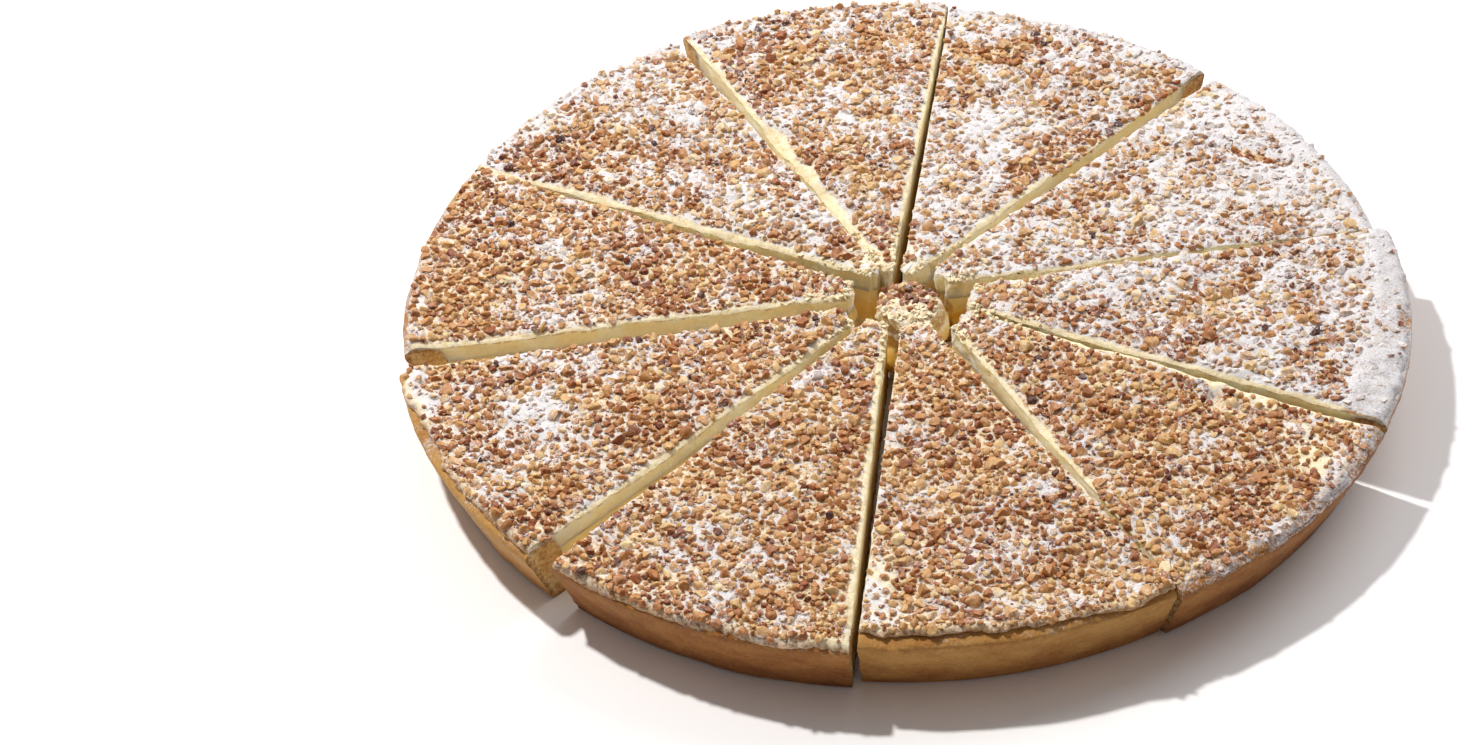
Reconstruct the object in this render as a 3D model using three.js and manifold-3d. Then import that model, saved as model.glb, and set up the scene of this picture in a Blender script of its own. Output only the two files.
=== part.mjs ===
// A round nut-topped cream tart, cut in ten slices that lie a little apart.
// Millimetres, +Z up, the origin under the middle of the tart on the table.

import * as THREE from 'three';
import { mergeVertices } from 'three/addons/utils/BufferGeometryUtils.js';
import Module from 'manifold-3d';

const wasm = await Module();
wasm.setup();

// --- Driving dimensions -------------------------------------------------------------------------

const RADIUS = 135;            // from the middle of the uncut tart to the outer edge of its rim
const FOOT_RADIUS = 127.5;     // the wall leans out from here, as the tin did
const RIM_HEIGHT = 21.3;       // top of the rim over the table
const RIM_WIDTH = 10.5;        // top of the rim, from outside to the filling
const BASE_THICKNESS = 4.6;
const CUSTARD_THICKNESS = 10.6;
const CREAM_THICKNESS = 7.3;   // in the middle, with the small nuts pressed into it
const LIP_THICKNESS = 1.3;     // where the cream runs out over the rim
const LAYER_GAP = 0.3;         // between a layer and the one it lies on
const KNIFE = 0.3;             // taken off each cut face

const FIRST_CUT_BEARING = 82.8;  // degrees from +X to the cut at the far side
const STEPS_PER_SLICE = 8;       // flats along the outer edge of one slice

const TOP_RELIEF = 0.7;        // height of the swells in the cream
const RIM_RELIEF = 0.35;       // unevenness of the rim's top
const WALL_RELIEF = 0.5;       // unevenness of the outer wall

const NUTS_PER_SLICE = 19;
const NUT_LENGTH = 4.7;        // the largest chopped nuts
const NUT_SHRINK = 0.4;        // the smallest ones modelled are this share shorter
const NUT_WIDTH = 0.8;         // of the length
const NUT_HEIGHT = 0.62;       // of the length
const NUT_SUNK = 0.42;         // share of its height that a nut sits in the cream
const NUT_MARGIN = 0.6;        // from a nut to a cut face

const MIDDLE_RADIUS = 8.8;     // the lump of broken tips that stands near the middle
const MIDDLE_PLACE = { x: 2.5, y: -4.5 };
const MIDDLE_SIDES = 9;
const MIDDLE_NUTS = 6;

// The slices, clockwise from the far side.
// out and side: how far the slice has slid outwards and anticlockwise.  turn: its twist in degrees.
// tip: how much of its point is broken off.  reach: how far the topping runs towards the rim.
const SLICES = [
  { out: 2.3, side: 1.0, turn: 0.1, tip: 4.5, reach: 130.5 },
  { out: 1.6, side: 0.6, turn: -1.0, tip: 12.0, reach: 131 },
  { out: 5.5, side: 0.0, turn: 0.3, tip: 14.5, reach: 125.5 },
  { out: 4.8, side: 3.7, turn: -0.6, tip: 15.5, reach: 129 },
  { out: 2.1, side: 1.1, turn: 1.4, tip: 12.5, reach: 132.5 },
  { out: 4.5, side: -0.4, turn: 2.4, tip: 8.5, reach: 133 },
  { out: 5.7, side: 2.0, turn: -0.1, tip: 11.5, reach: 129 },
  { out: 2.7, side: 1.0, turn: -1.8, tip: 10.0, reach: 133 },
  { out: 3.6, side: -2.0, turn: 0.4, tip: 6.5, reach: 132.5 },
  { out: 5.9, side: 1.2, turn: -1.0, tip: 2.5, reach: 131 },
];

// A knife scrape in the edge of the fourth slice, measured in that slice's own frame.
const SCRAPE = { slice: 4, x: 87, y: 21.5, heading: -38, length: 15, width: 6, depth: 2.4 };

// --- Values that follow from them ----------------------------------------------------------------

const SLICE_ANGLE = (2 * Math.PI) / SLICES.length;
const HALF_ANGLE = SLICE_ANGLE / 2;
const KNIFE_TIP = KNIFE / Math.sin(HALF_ANGLE);
const RIM_INSIDE = RADIUS - RIM_WIDTH;
const WALL_INSIDE = FOOT_RADIUS - RIM_WIDTH + 2.5;
const CUSTARD_BOTTOM = BASE_THICKNESS + LAYER_GAP;
const CUSTARD_TOP = CUSTARD_BOTTOM + CUSTARD_THICKNESS;
const CREAM_BOTTOM = CUSTARD_TOP + LAYER_GAP;
const CREAM_TOP = CREAM_BOTTOM + CREAM_THICKNESS;
const LIP_BOTTOM = RIM_HEIGHT + LAYER_GAP;
const LIP_TOP = LIP_BOTTOM + LIP_THICKNESS;
const WEDGE_TOP = 2 * CREAM_TOP;

// --- Materials -----------------------------------------------------------------------------------

const crustMaterial = new THREE.MeshStandardMaterial({ color: 0xc9975a, roughness: 0.85, metalness: 0 });
const custardMaterial = new THREE.MeshStandardMaterial({ color: 0xe8c866, roughness: 0.4, metalness: 0 });
const toppingMaterial = new THREE.MeshStandardMaterial({ color: 0xd9b98a, roughness: 0.75, metalness: 0 });

// --- Helpers -------------------------------------------------------------------------------------

function seededRandom(seed) {
  let state = seed;
  return () => {
    state = (Math.imul(state, 1664525) + 1013904223) >>> 0;
    return state / 4294967296;
  };
}

// Smooth unevenness of baked dough and spread cream, between -1 and 1, different for each seed.
function swell(x, y, seed) {
  const broad = Math.sin(x / 13 + 1.7 * seed) * Math.cos(y / 11 + 2.9 * seed);
  const fine = Math.sin((x + 2 * y) / 15 + 4.1 * seed) * Math.cos((2 * x - y) / 17 + 0.6 * seed);
  return 0.6 * broad + 0.4 * fine;
}

function solidOf(geometry) {
  geometry.deleteAttribute('normal');
  geometry.deleteAttribute('uv');
  const merged = mergeVertices(geometry, 1e-3);
  return new wasm.Manifold(new wasm.Mesh({
    numProp: 3,
    vertProperties: merged.attributes.position.array,
    triVerts: new Uint32Array(merged.index.array),
  }));
}

function meshOf(solid, name, material) {
  const { vertProperties, triVerts } = solid.getMesh();
  const geometry = new THREE.BufferGeometry();
  geometry.setAttribute('position', new THREE.BufferAttribute(vertProperties, 3));
  geometry.setIndex(new THREE.BufferAttribute(triVerts, 1));
  geometry.computeVertexNormals();
  const mesh = new THREE.Mesh(geometry, material.clone());
  mesh.name = name;
  return mesh;
}

// Moves every vertex by what the function returns for it.
function displace(geometry, shift) {
  const position = geometry.attributes.position;
  const point = new THREE.Vector3();
  for (let i = 0; i < position.count; i += 1) {
    point.fromBufferAttribute(position, i);
    point.add(shift(point));
    position.setXYZ(i, point.x, point.y, point.z);
  }
  return geometry;
}

// The full round of a layer, from its radius and height outline, which runs anticlockwise.
function round(outline) {
  const points = outline.map(([radius, height]) => new THREE.Vector2(radius, height));
  const geometry = new THREE.LatheGeometry(points, STEPS_PER_SLICE * SLICES.length);
  return geometry.rotateX(Math.PI / 2).rotateZ(HALF_ANGLE);
}

// The prism between two cuts, with its point broken off and open outwards.
function wedge(tip) {
  const far = 1.2 * RADIUS;
  const cosine = Math.cos(HALF_ANGLE);
  const sine = Math.sin(HALF_ANGLE);
  const shape = new THREE.Shape();
  shape.moveTo(KNIFE_TIP + tip * cosine, -tip * sine);
  shape.lineTo(KNIFE_TIP + far * cosine, -far * sine);
  shape.lineTo(KNIFE_TIP + far * cosine, far * sine);
  shape.lineTo(KNIFE_TIP + tip * cosine, tip * sine);
  shape.lineTo(KNIFE_TIP + 0.85 * tip, 0.1 * tip);
  shape.closePath();
  return solidOf(new THREE.ExtrudeGeometry(shape, { depth: WEDGE_TOP, bevelEnabled: false }));
}

// --- Layers --------------------------------------------------------------------------------------

const crustOutline = [
  [0, 0],
  [FOOT_RADIUS - 2, 0],
  [FOOT_RADIUS, 1.6],
  [FOOT_RADIUS + 0.42 * (RADIUS - FOOT_RADIUS), 0.45 * RIM_HEIGHT],
  [RADIUS - 0.5, RIM_HEIGHT - 2.6],
  [RADIUS - 0.3, RIM_HEIGHT - 1.3],
  [RADIUS - 1.6, RIM_HEIGHT - 0.2],
  [RADIUS - 4, RIM_HEIGHT],
  [RIM_INSIDE + 2.5, RIM_HEIGHT],
  [RIM_INSIDE, RIM_HEIGHT - 1.4],
  [WALL_INSIDE, BASE_THICKNESS + 2],
  [WALL_INSIDE - 2, BASE_THICKNESS],
  [0, BASE_THICKNESS],
];

const custardOutline = [
  [0, CUSTARD_BOTTOM],
  [WALL_INSIDE - 2.6, CUSTARD_BOTTOM],
  [WALL_INSIDE - 0.5, CUSTARD_BOTTOM + 2],
  [WALL_INSIDE + 1, CUSTARD_TOP - 0.6],
  [WALL_INSIDE - 1, CUSTARD_TOP],
  [0, CUSTARD_TOP],
];

// The cream fills the shell over the custard and runs out over the rim as a thin lip.
function creamOutline(reach) {
  const outline = [
    [0, CREAM_BOTTOM],
    [WALL_INSIDE + 0.6, CREAM_BOTTOM],
    [RIM_INSIDE - 0.8, RIM_HEIGHT - 1.6],
    [RIM_INSIDE + 0.6, LIP_BOTTOM],
    [reach - 0.6, LIP_BOTTOM],
    [reach, LIP_BOTTOM + 0.6],
    [reach - 1.2, LIP_TOP],
  ];
  const rings = 6;
  for (let ring = 1; ring <= rings; ring += 1) {
    const share = ring / rings;
    const dome = Math.sin((share * Math.PI) / 2);
    outline.push([(reach - 1.2) * (1 - share), LIP_TOP + (CREAM_TOP - LIP_TOP) * dome]);
  }
  return outline;
}

function crustRelief(seed) {
  return ({ x, y, z }) => {
    const radius = Math.hypot(x, y);
    const onWall = radius > FOOT_RADIUS - 1 && z > 1 ? 1 : 0;
    const onRim = z > RIM_HEIGHT - 1 ? 1 : 0;
    const outwards = (onWall * WALL_RELIEF * swell(y, x, seed)) / Math.max(radius, 1);
    return new THREE.Vector3(x * outwards, y * outwards, onRim * RIM_RELIEF * swell(x, y, seed));
  };
}

// The underside of the lip follows the rim below it, and the top has swells of its own.
function creamRelief(seed) {
  return ({ x, y, z }) => {
    const onRim = z > RIM_HEIGHT - 1 ? RIM_RELIEF * swell(x, y, seed) : 0;
    const onTop = z > LIP_TOP - 0.1 ? TOP_RELIEF * (swell(x, y, seed + 3) + 0.4) : 0;
    return new THREE.Vector3(0, 0, onRim + onTop);
  };
}

// One chopped nut: a lopsided lump with flat sides, lying any way round.
function nut(length, random) {
  const lump = new THREE.IcosahedronGeometry(length / 2, 0);
  lump.deleteAttribute('normal');
  lump.deleteAttribute('uv');
  const merged = mergeVertices(lump, 1e-3);
  displace(merged, (point) => point.clone().multiplyScalar(0.4 * random() - 0.25));
  merged.scale(1, NUT_WIDTH, NUT_HEIGHT);
  return merged.rotateX(0.8 * (random() - 0.5)).rotateZ(2 * Math.PI * random());
}

// The candidate that lies farthest from the nuts already placed keeps them evenly spread.
function bestSpot(placed, candidate) {
  let best = null;
  let clearance = -1;
  for (let tries = 0; tries < 24; tries += 1) {
    const spot = candidate();
    const nearest = Math.min(1e3, ...placed.map((other) => other.distanceTo(spot)));
    if (nearest > clearance) {
      best = spot;
      clearance = nearest;
    }
  }
  return best;
}

// A random place on a slice's top that keeps a margin to its cut faces and its rim.
function placeOnSlice(tip, reach, margin, random) {
  const nearest = tip + margin / Math.sin(HALF_ANGLE);
  const farthest = reach - margin;
  const radius = Math.sqrt(nearest ** 2 + (farthest ** 2 - nearest ** 2) * random());
  const widest = HALF_ANGLE - Math.asin(Math.min(0.95 * Math.sin(HALF_ANGLE), margin / radius));
  const angle = widest * (2 * random() - 1);
  return new THREE.Vector2(KNIFE_TIP + radius * Math.cos(angle), radius * Math.sin(angle));
}

// Height of the cream's top under a point.
function creamHeight(radius, reach) {
  const share = 1 - Math.min(1, radius / (reach - 1.2));
  return LIP_TOP + (CREAM_TOP - LIP_TOP) * Math.sin((share * Math.PI) / 2);
}

function addNuts(cream, count, spotFor, heightAt, random) {
  const placed = [];
  let solid = cream;
  for (let i = 0; i < count; i += 1) {
    const length = NUT_LENGTH * (1 - (NUT_SHRINK * i) / count);
    const spot = bestSpot(placed, () => spotFor(length / 2 + NUT_MARGIN));
    placed.push(spot);
    const height = heightAt(spot) + (0.5 - NUT_SUNK) * length * NUT_HEIGHT;
    solid = solid.add(solidOf(nut(length, random).translate(spot.x, spot.y, height)));
  }
  return solid;
}

// --- Slices --------------------------------------------------------------------------------------

function scrape() {
  const hollow = new THREE.SphereGeometry(0.5, 10, 8);
  hollow.scale(SCRAPE.length, SCRAPE.width, 2 * SCRAPE.depth);
  hollow.rotateZ(THREE.MathUtils.degToRad(SCRAPE.heading));
  return solidOf(hollow.translate(SCRAPE.x, SCRAPE.y, CREAM_TOP));
}

function creamOf(number, { tip, reach }, cutter) {
  const random = seededRandom(97 * number);
  const relief = creamRelief(number);
  const body = solidOf(displace(round(creamOutline(reach)), relief)).intersect(cutter);
  const heightAt = (spot) => {
    const level = creamHeight(spot.length(), reach);
    return level + relief({ x: spot.x, y: spot.y, z: level }).z;
  };
  const spotFor = (margin) => placeOnSlice(tip, reach, margin, random);
  const topped = addNuts(body, NUTS_PER_SLICE, spotFor, heightAt, random);
  return number === SCRAPE.slice ? topped.subtract(scrape()) : topped;
}

function slice(number, placing) {
  const name = `slice${String(number).padStart(2, '0')}`;
  const cutter = wedge(placing.tip);
  const crust = solidOf(displace(round(crustOutline), crustRelief(number))).intersect(cutter);
  const custard = solidOf(round(custardOutline)).intersect(cutter);
  const cream = creamOf(number, placing, cutter);

  const group = new THREE.Group();
  group.add(meshOf(crust, `${name}_crust`, crustMaterial));
  group.add(meshOf(custard, `${name}_custard`, custardMaterial));
  group.add(meshOf(cream, `${name}_cream`, toppingMaterial));

  const bearing = THREE.MathUtils.degToRad(FIRST_CUT_BEARING) - (number - 0.5) * SLICE_ANGLE;
  const outwards = new THREE.Vector2(Math.cos(bearing), Math.sin(bearing));
  group.position.x = placing.out * outwards.x - placing.side * outwards.y;
  group.position.y = placing.out * outwards.y + placing.side * outwards.x;
  group.rotation.z = bearing + THREE.MathUtils.degToRad(placing.turn);
  return group;
}

// --- The broken tips in the middle ----------------------------------------------------------------

function middleLayer(bottom, top, spread, seed) {
  const random = seededRandom(seed);
  const radius = MIDDLE_RADIUS - spread;
  const drum = new THREE.CylinderGeometry(radius, radius, top - bottom, MIDDLE_SIDES, 1);
  drum.rotateX(Math.PI / 2).translate(0, 0, (top + bottom) / 2);
  const bends = Array.from({ length: 3 }, () => 2 * Math.PI * random());
  return solidOf(displace(drum, ({ x, y }) => {
    const angle = Math.atan2(y, x);
    const bend = 0.5 * Math.sin(2 * angle + bends[0]) + 0.4 * Math.sin(3 * angle + bends[1]);
    return new THREE.Vector3(x, y, 0).multiplyScalar((0.8 * bend - 0.3) / MIDDLE_RADIUS);
  }));
}

function middle() {
  const random = seededRandom(5);
  const spotFor = (margin) => {
    const radius = (MIDDLE_RADIUS - margin - 1.6) * Math.sqrt(random());
    const angle = 2 * Math.PI * random();
    return new THREE.Vector2(radius * Math.cos(angle), radius * Math.sin(angle));
  };
  const body = middleLayer(CREAM_BOTTOM, CREAM_TOP - 0.6, 0.3, 31);
  const cream = addNuts(body, MIDDLE_NUTS, spotFor, () => CREAM_TOP - 0.6, random);

  const group = new THREE.Group();
  group.add(meshOf(middleLayer(0, BASE_THICKNESS, 0.6, 11), 'middle_crust', crustMaterial));
  group.add(meshOf(middleLayer(CUSTARD_BOTTOM, CUSTARD_TOP, 0, 21), 'middle_custard', custardMaterial));
  group.add(meshOf(cream, 'middle_cream', toppingMaterial));
  group.position.set(MIDDLE_PLACE.x, MIDDLE_PLACE.y, 0);
  return group;
}

// --- The whole tart -------------------------------------------------------------------------------

const group = new THREE.Group();
SLICES.forEach((placing, index) => group.add(slice(index + 1, placing)));
group.add(middle());

// The frame's origin lies under the middle of the whole, on the table.
const extent = new THREE.Box3().setFromObject(group, true);
const centre = extent.getCenter(new THREE.Vector3());
group.position.set(-centre.x, -centre.y, -extent.min.z);

export default group;
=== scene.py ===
# A round nut-topped cream tart, cut in ten slices that lie a little apart: pastry, custard, cream and bits.
# Lengths are in millimetres and angles in degrees until a mesh or the camera is made, which takes metres.

import itertools
import math
from dataclasses import dataclass

import bmesh
import bpy
import numpy as np
from mathutils import Matrix, Vector


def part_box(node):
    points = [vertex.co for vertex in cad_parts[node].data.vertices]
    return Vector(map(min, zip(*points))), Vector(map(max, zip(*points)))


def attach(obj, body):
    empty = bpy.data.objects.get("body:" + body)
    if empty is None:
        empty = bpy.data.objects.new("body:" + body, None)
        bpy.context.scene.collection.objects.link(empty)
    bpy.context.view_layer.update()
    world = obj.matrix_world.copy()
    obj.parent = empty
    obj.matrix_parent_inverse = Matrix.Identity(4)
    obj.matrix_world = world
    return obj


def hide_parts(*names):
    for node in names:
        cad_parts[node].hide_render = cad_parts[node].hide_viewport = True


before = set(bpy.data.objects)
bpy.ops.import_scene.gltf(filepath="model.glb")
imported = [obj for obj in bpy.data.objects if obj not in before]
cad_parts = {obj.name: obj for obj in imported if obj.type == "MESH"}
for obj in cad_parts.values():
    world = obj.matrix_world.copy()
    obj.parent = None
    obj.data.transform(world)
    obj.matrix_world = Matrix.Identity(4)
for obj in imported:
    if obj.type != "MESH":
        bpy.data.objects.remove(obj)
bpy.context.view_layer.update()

MM = 0.001

# --- Driving dimensions -----------------------------------

RADIUS = 135.0            # from the middle of the uncut tart to the outer edge of its rim
FOOT_RADIUS = 127.5       # the wall leans out from here
RIM_HEIGHT = 21.3
RIM_WIDTH = 10.5
BASE_THICKNESS = 4.6
CUSTARD_THICKNESS = 10.6
CREAM_THICKNESS = 7.3
LIP_THICKNESS = 1.3       # where the cream runs out over the rim
LAYER_GAP = 0.3           # between the layers of the solids, which the food itself closes
KNIFE = 0.3               # taken off each cut face
FIRST_CUT_BEARING = 82.8  # from +X to the cut at the far side

TOP_RELIEF = 0.7          # height of the broad swells in the cream
RIM_RELIEF = 0.35
RIM_LUMPS = 0.22
RIM_CROWN = 0.65          # how much the rim rises between its edges
WALL_RELIEF = 0.5
WALL_LUMPS = 0.35
WALL_GRAIN = 0.12
NUT_ROOM = 1.3            # the spread cream lies this much lower than the top with its nuts
TIP_ROOM = 60.0           # the broken tip draws in the rows of points up to here
CRUST_CRUMBLE = 0.6       # how ragged the layers' broken tips are
CRUST_LONGER = 1.7        # the pastry's tips are this much less broken than the layers on them
CUSTARD_CRUMBLE = 1.5
CREAM_CRUMBLE = 1.3
COATED_FROM = 0.5         # rims with this much sugar are coated nearly to their outer edge
COATED_LIFT = 0.1         # how much the topping's edge rises on such a rim
EDGE_LIFT = 0.7           # and on the others
SUGAR_DEPTH = 1.0         # of the powder in the hollows where it is thickest
SEAM = 0.15               # neighbouring layers run into each other by this much
FILLING_OVERLAP = 0.3     # the custard runs into the wall of the pastry by this much

MIDDLE_RADIUS = 8.4       # the lump of broken tips near the middle
MIDDLE_PLACE = (2.5, -4.5)


@dataclass
class Slice:
    """One slice, clockwise from the far side. From reach on, the columns are how it looks."""
    number: int
    out: float       # how far it has slid outwards
    side: float      # and anticlockwise
    turn: float
    tip: float       # how much of its point is broken off
    reach: float     # how far the topping runs towards the rim, halfway between the cuts
    slant: float     # how much further it runs at the anticlockwise cut
    dust: float      # powdered sugar on the nuts, 0 to 1
    rim_dust: float  # powdered sugar on the rim
    wander: float    # how much the topping's outer edge wanders
    lip: float       # extra thickness of the cream at that edge
    bake: float      # how much browner than the others its pastry is


SLICES = [
    Slice(1, 2.3, 1.0, 0.1, 4.5, 130.5, 0.3, 0.57, 0.72, 0.8, 0.0, 0.0),
    Slice(2, 1.6, 0.6, -1.0, 12.0, 131.0, 0.0, 0.58, 0.85, 0.8, 0.0, 0.0),
    Slice(3, 5.5, 0.0, 0.3, 14.5, 125.6, 3.6, 0.52, 0.92, 0.9, 0.0, 0.0),
    Slice(4, 4.8, 3.7, -0.6, 15.5, 131.4, -0.6, 0.33, 0.52, 1.4, 0.0, 0.12),
    Slice(5, 2.1, 1.1, 1.4, 12.5, 132.4, 0.9, 0.36, 0.05, 1.2, 0.5, -0.08),
    Slice(6, 4.5, -0.4, 2.4, 8.5, 134.2, 0.2, 0.34, 0.25, 0.6, 0.0, 0.12),
    Slice(7, 5.7, 2.0, -0.1, 11.5, 133.0, 2.0, 0.37, 0.25, 1.4, 0.4, -0.14),
    Slice(8, 2.7, 1.0, -1.8, 10.0, 133.2, 0.3, 0.34, 0.40, 0.8, 0.1, -0.05),
    Slice(9, 3.6, -2.0, 0.4, 6.5, 132.2, 1.0, 0.49, 0.78, 0.8, 0.0, 0.0),
    Slice(10, 5.9, 1.2, -1.0, 2.5, 131.2, 0.3, 0.46, 0.55, 0.8, 0.0, 0.0),
]


# Places on the topping that differ from the rest: where the cream shows bare, where the sugar has drifted,
# and where neither covers the toasted nuts. Each slice has its rows of x, y, length, width, heading and
# strength, in its own frame.
BARE_PATCHES = {
    1: [(12, 0, 12, 7, 0, 0.6), (118, 32, 8, 5, 40, 0.6)],
    4: [(118, 22, 24, 12, -8, 0.75), (95, 27, 16, 4, 12, 0.7), (84, 25, 8, 4, 0, 0.8)],
    5: [(112, -32, 26, 7, -15, 0.9), (123, -29, 12, 8, 70, 0.6), (60, -16, 20, 3, -16, 0.5)],
    6: [(128, 37, 12, 6, 80, 0.5)],
    7: [(130, -29, 26, 9, 78, 1.0)],
    8: [(118, -34, 12, 3, -18, 0.6)],
    9: [(12, 0, 10, 8, 0, 0.8)],
    10: [(106, 32.5, 8, 4, 18, 1.0), (50, 14, 16, 4, 17, 0.7), (10, 0, 14, 6, 0, 0.6)],
}
DRIFTS = {
    1: [(122, -12, 30, 12, 100, 0.17), (70, 4, 24, 12, 30, 0.14)],
    2: [(118, -8, 34, 16, 90, 0.27), (118, 22, 26, 22, 90, 0.24), (96, 12, 26, 10, 20, 0.14)],
    3: [(60, 10, 40, 12, 8, 0.14), (120, 4, 60, 12, 90, 0.20)],
    5: [(84, 14, 16, 7, 40, 0.10), (124, 6, 20, 6, 90, 0.14)],
    6: [(101, -16, 20, 9, 60, 0.19), (116, -14, 18, 8, 75, 0.19), (40, -6, 20, 7, -15, 0.19),
        (126, 10, 30, 9, 95, 0.19)],
    7: [(101, -2, 36, 15, 120, 0.26), (128, -28, 26, 10, 80, 0.31), (60, 6, 20, 9, 100, 0.14)],
    8: [(113, -10, 20, 8, 100, 0.22), (95, -3, 16, 7, 110, 0.19), (128, 32, 14, 9, 80, 0.24)],
    9: [(126, 0, 46, 9, 90, 0.17)],
    10: [(84, 8, 34, 16, 20, 0.12), (120, 34, 18, 8, 80, 0.22)],
}
TOASTED_PATCHES = {
    1: [(109, 20, 26, 9, 90, 0.55), (60, -13, 28, 11, -12, 0.35)],
    2: [(116, 2, 18, 3.5, -50, 0.85)],
    3: [(133, 3, 14, 5, 80, 0.35)],
    4: [(100, -8, 40, 26, 0, 0.15)],
    6: [(92, 12, 34, 20, 0, 0.15)],
    7: [(112, 26, 26, 12, 60, 0.2)],
    8: [(118, 14, 34, 22, 90, 0.2)],
}

# Strips along the cuts that the nuts leave free: for each slice 1 for its anticlockwise cut and -1 for the
# other, from x, to x, and the width. Where the width is below zero, the nuts reach over the cut.
BARE_STRIPS = {
    1: [(-1, 0, 60, 1.2), (-1, 60, 140, -0.5)],
    2: [(-1, 0, 60, 0.8)],
    3: [(-1, 0, 120, 1.2)],
    4: [(1, 20, 128, 1.7), (-1, 10, 86, 1.3), (-1, 92, 140, -1.1)],
    5: [(1, 92, 140, -1.1)],
    6: [(1, 0, 140, 1.3)],
    7: [(1, 0, 115, 1.0), (1, 115, 140, -0.5)],
    8: [(1, 0, 140, 1.2), (-1, 0, 140, -0.3)],
    9: [(1, 0, 140, 1.6)],
    10: [(1, 8, 76, 3.0), (1, 76, 140, 1.4), (-1, 0, 140, 1.0)],
}

# Tongues of the topping that reach further over the rim: y, width along the rim and extra reach.
TONGUES = {
    4: [(34.0, 5.0, 2.0)],
    5: [(-35.0, 4.0, 1.2), (30.0, 6.0, 1.2)],
    7: [(-33.0, 9.0, 3.4), (-14.0, 5.0, 0.8)],
}

# A knife scrape in the edge of the fourth slice, as x, y, length, width and heading in its own frame.
SCRAPED_SLICE = 4
SCRAPE = (87.0, 21.5, 15.0, 6.0, -38.0)
SCRAPE_DEPTH = 2.4

# --- The camera, worked out from the photograph -----------

PHOTO_SIZE = (1467, 745)
MIDDLE_PIXEL = (900.2, 294.0)   # where the middle of the uncut tart's rim plane shows
FOCAL_PIXELS = 3528.3
SENSOR_WIDTH = 36.0
CAMERA_ELEVATION = 39.817
CAMERA_ROLL = 0.898
CAMERA_DISTANCE = 977.2
RIM_PLANE = 22.0

# --- Values that follow from them -------------------------

SLICE_ANGLE = 2 * math.pi / len(SLICES)
HALF_ANGLE = SLICE_ANGLE / 2
HALF_SINE = math.sin(HALF_ANGLE)
HALF_COSINE = math.cos(HALF_ANGLE)
KNIFE_TIP = KNIFE / HALF_SINE
RIM_INSIDE = RADIUS - RIM_WIDTH
WALL_INSIDE = FOOT_RADIUS - RIM_WIDTH + 2.5
CUSTARD_BOTTOM = BASE_THICKNESS + LAYER_GAP
CUSTARD_TOP = CUSTARD_BOTTOM + CUSTARD_THICKNESS
CREAM_BOTTOM = CUSTARD_TOP + LAYER_GAP
CREAM_TOP = CREAM_BOTTOM + CREAM_THICKNESS
LIP_BOTTOM = RIM_HEIGHT + LAYER_GAP
LIP_TOP = LIP_BOTTOM + LIP_THICKNESS


# --- Unevenness -------------------------------------------

def hashed(cells, seed):
    """A number between -1 and 1 for each lattice cell, always the same one."""
    mixed = cells[..., 0] * 374761393 + cells[..., 1] * 668265263 + cells[..., 2] * 1274126177
    mixed = (mixed + seed * 974711) & 0xFFFFFFFF
    mixed = ((mixed ^ (mixed >> 13)) * 1103515245) & 0xFFFFFFFF
    mixed = ((mixed ^ (mixed >> 15)) * 2246822519) & 0xFFFFFFFF
    return ((mixed ^ (mixed >> 16)) & 0xFFFFFF) / 0x7FFFFF - 1.0


def lumps(points, size, seed):
    """Smooth unevenness between -1 and 1 with lumps about size wide, for (n, 2) or (n, 3) points."""
    points = np.asarray(points, float) / size
    if points.shape[-1] == 2:
        points = np.concatenate([points, np.zeros(points.shape[:-1] + (1,))], axis=-1)
    cells = np.floor(points).astype(np.int64)
    part = points - cells
    ease = part * part * (3 - 2 * part)
    total = 0.0
    for corner in itertools.product((0, 1), repeat=3):
        weight = np.prod(np.where(corner, ease, 1 - ease), axis=-1)
        total = total + weight * hashed(cells + np.array(corner), seed)
    return total


def rough(points, size, seed, layers=3):
    """Lumps with finer and lower lumps on them, between about -1 and 1."""
    shares = [0.55 ** layer for layer in range(layers)]
    sum_of_layers = sum(
        share * lumps(points, size / 2 ** layer, seed + 31 * layer) for layer, share in enumerate(shares)
    )
    return sum_of_layers / sum(shares) * 1.4


def swell(x, y, seed):
    """The broad unevenness of the solids."""
    broad = np.sin(x / 13 + 1.7 * seed) * np.cos(y / 11 + 2.9 * seed)
    fine = np.sin((x + 2 * y) / 15 + 4.1 * seed) * np.cos((2 * x - y) / 17 + 0.6 * seed)
    return 0.6 * broad + 0.4 * fine


def plan(x, y):
    """Points seen from above, for lumps() and rough()."""
    return np.stack([x, y], axis=-1)


def smooth_step(low, high, value):
    share = np.clip((value - low) / (high - low), 0, 1)
    return share * share * (3 - 2 * share)


# --- Places on a slice ------------------------------------

def bearing_of(piece):
    return math.radians(FIRST_CUT_BEARING) - (piece.number - 0.5) * SLICE_ANGLE


def unshifted(piece, points):
    """From the slice's own frame to the frame round the middle of the uncut tart."""
    bearing = bearing_of(piece)
    turn = bearing + math.radians(piece.turn)
    outwards = np.array([math.cos(bearing), math.sin(bearing)])
    sideways = np.array([-outwards[1], outwards[0]])
    turned = np.array([[math.cos(turn), math.sin(turn)], [-math.sin(turn), math.cos(turn)]])
    placed = np.array(points, float)
    placed[..., :2] = placed[..., :2] @ turned + piece.out * outwards + piece.side * sideways
    return placed


def middle_shift():
    """How far the frame lies from the middle of the uncut tart, read off the first custard's tip."""
    piece = SLICES[0]
    near = KNIFE_TIP + piece.tip * HALF_COSINE
    corners = [[near, piece.tip * HALF_SINE], [near, -piece.tip * HALF_SINE]]
    corners.append([KNIFE_TIP + 0.85 * piece.tip, 0.1 * piece.tip])
    lowest = unshifted(piece, corners).min(axis=0)
    low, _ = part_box("slice01_custard")
    return np.array([low[0] / MM - lowest[0], low[1] / MM - lowest[1], 0.0])


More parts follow.
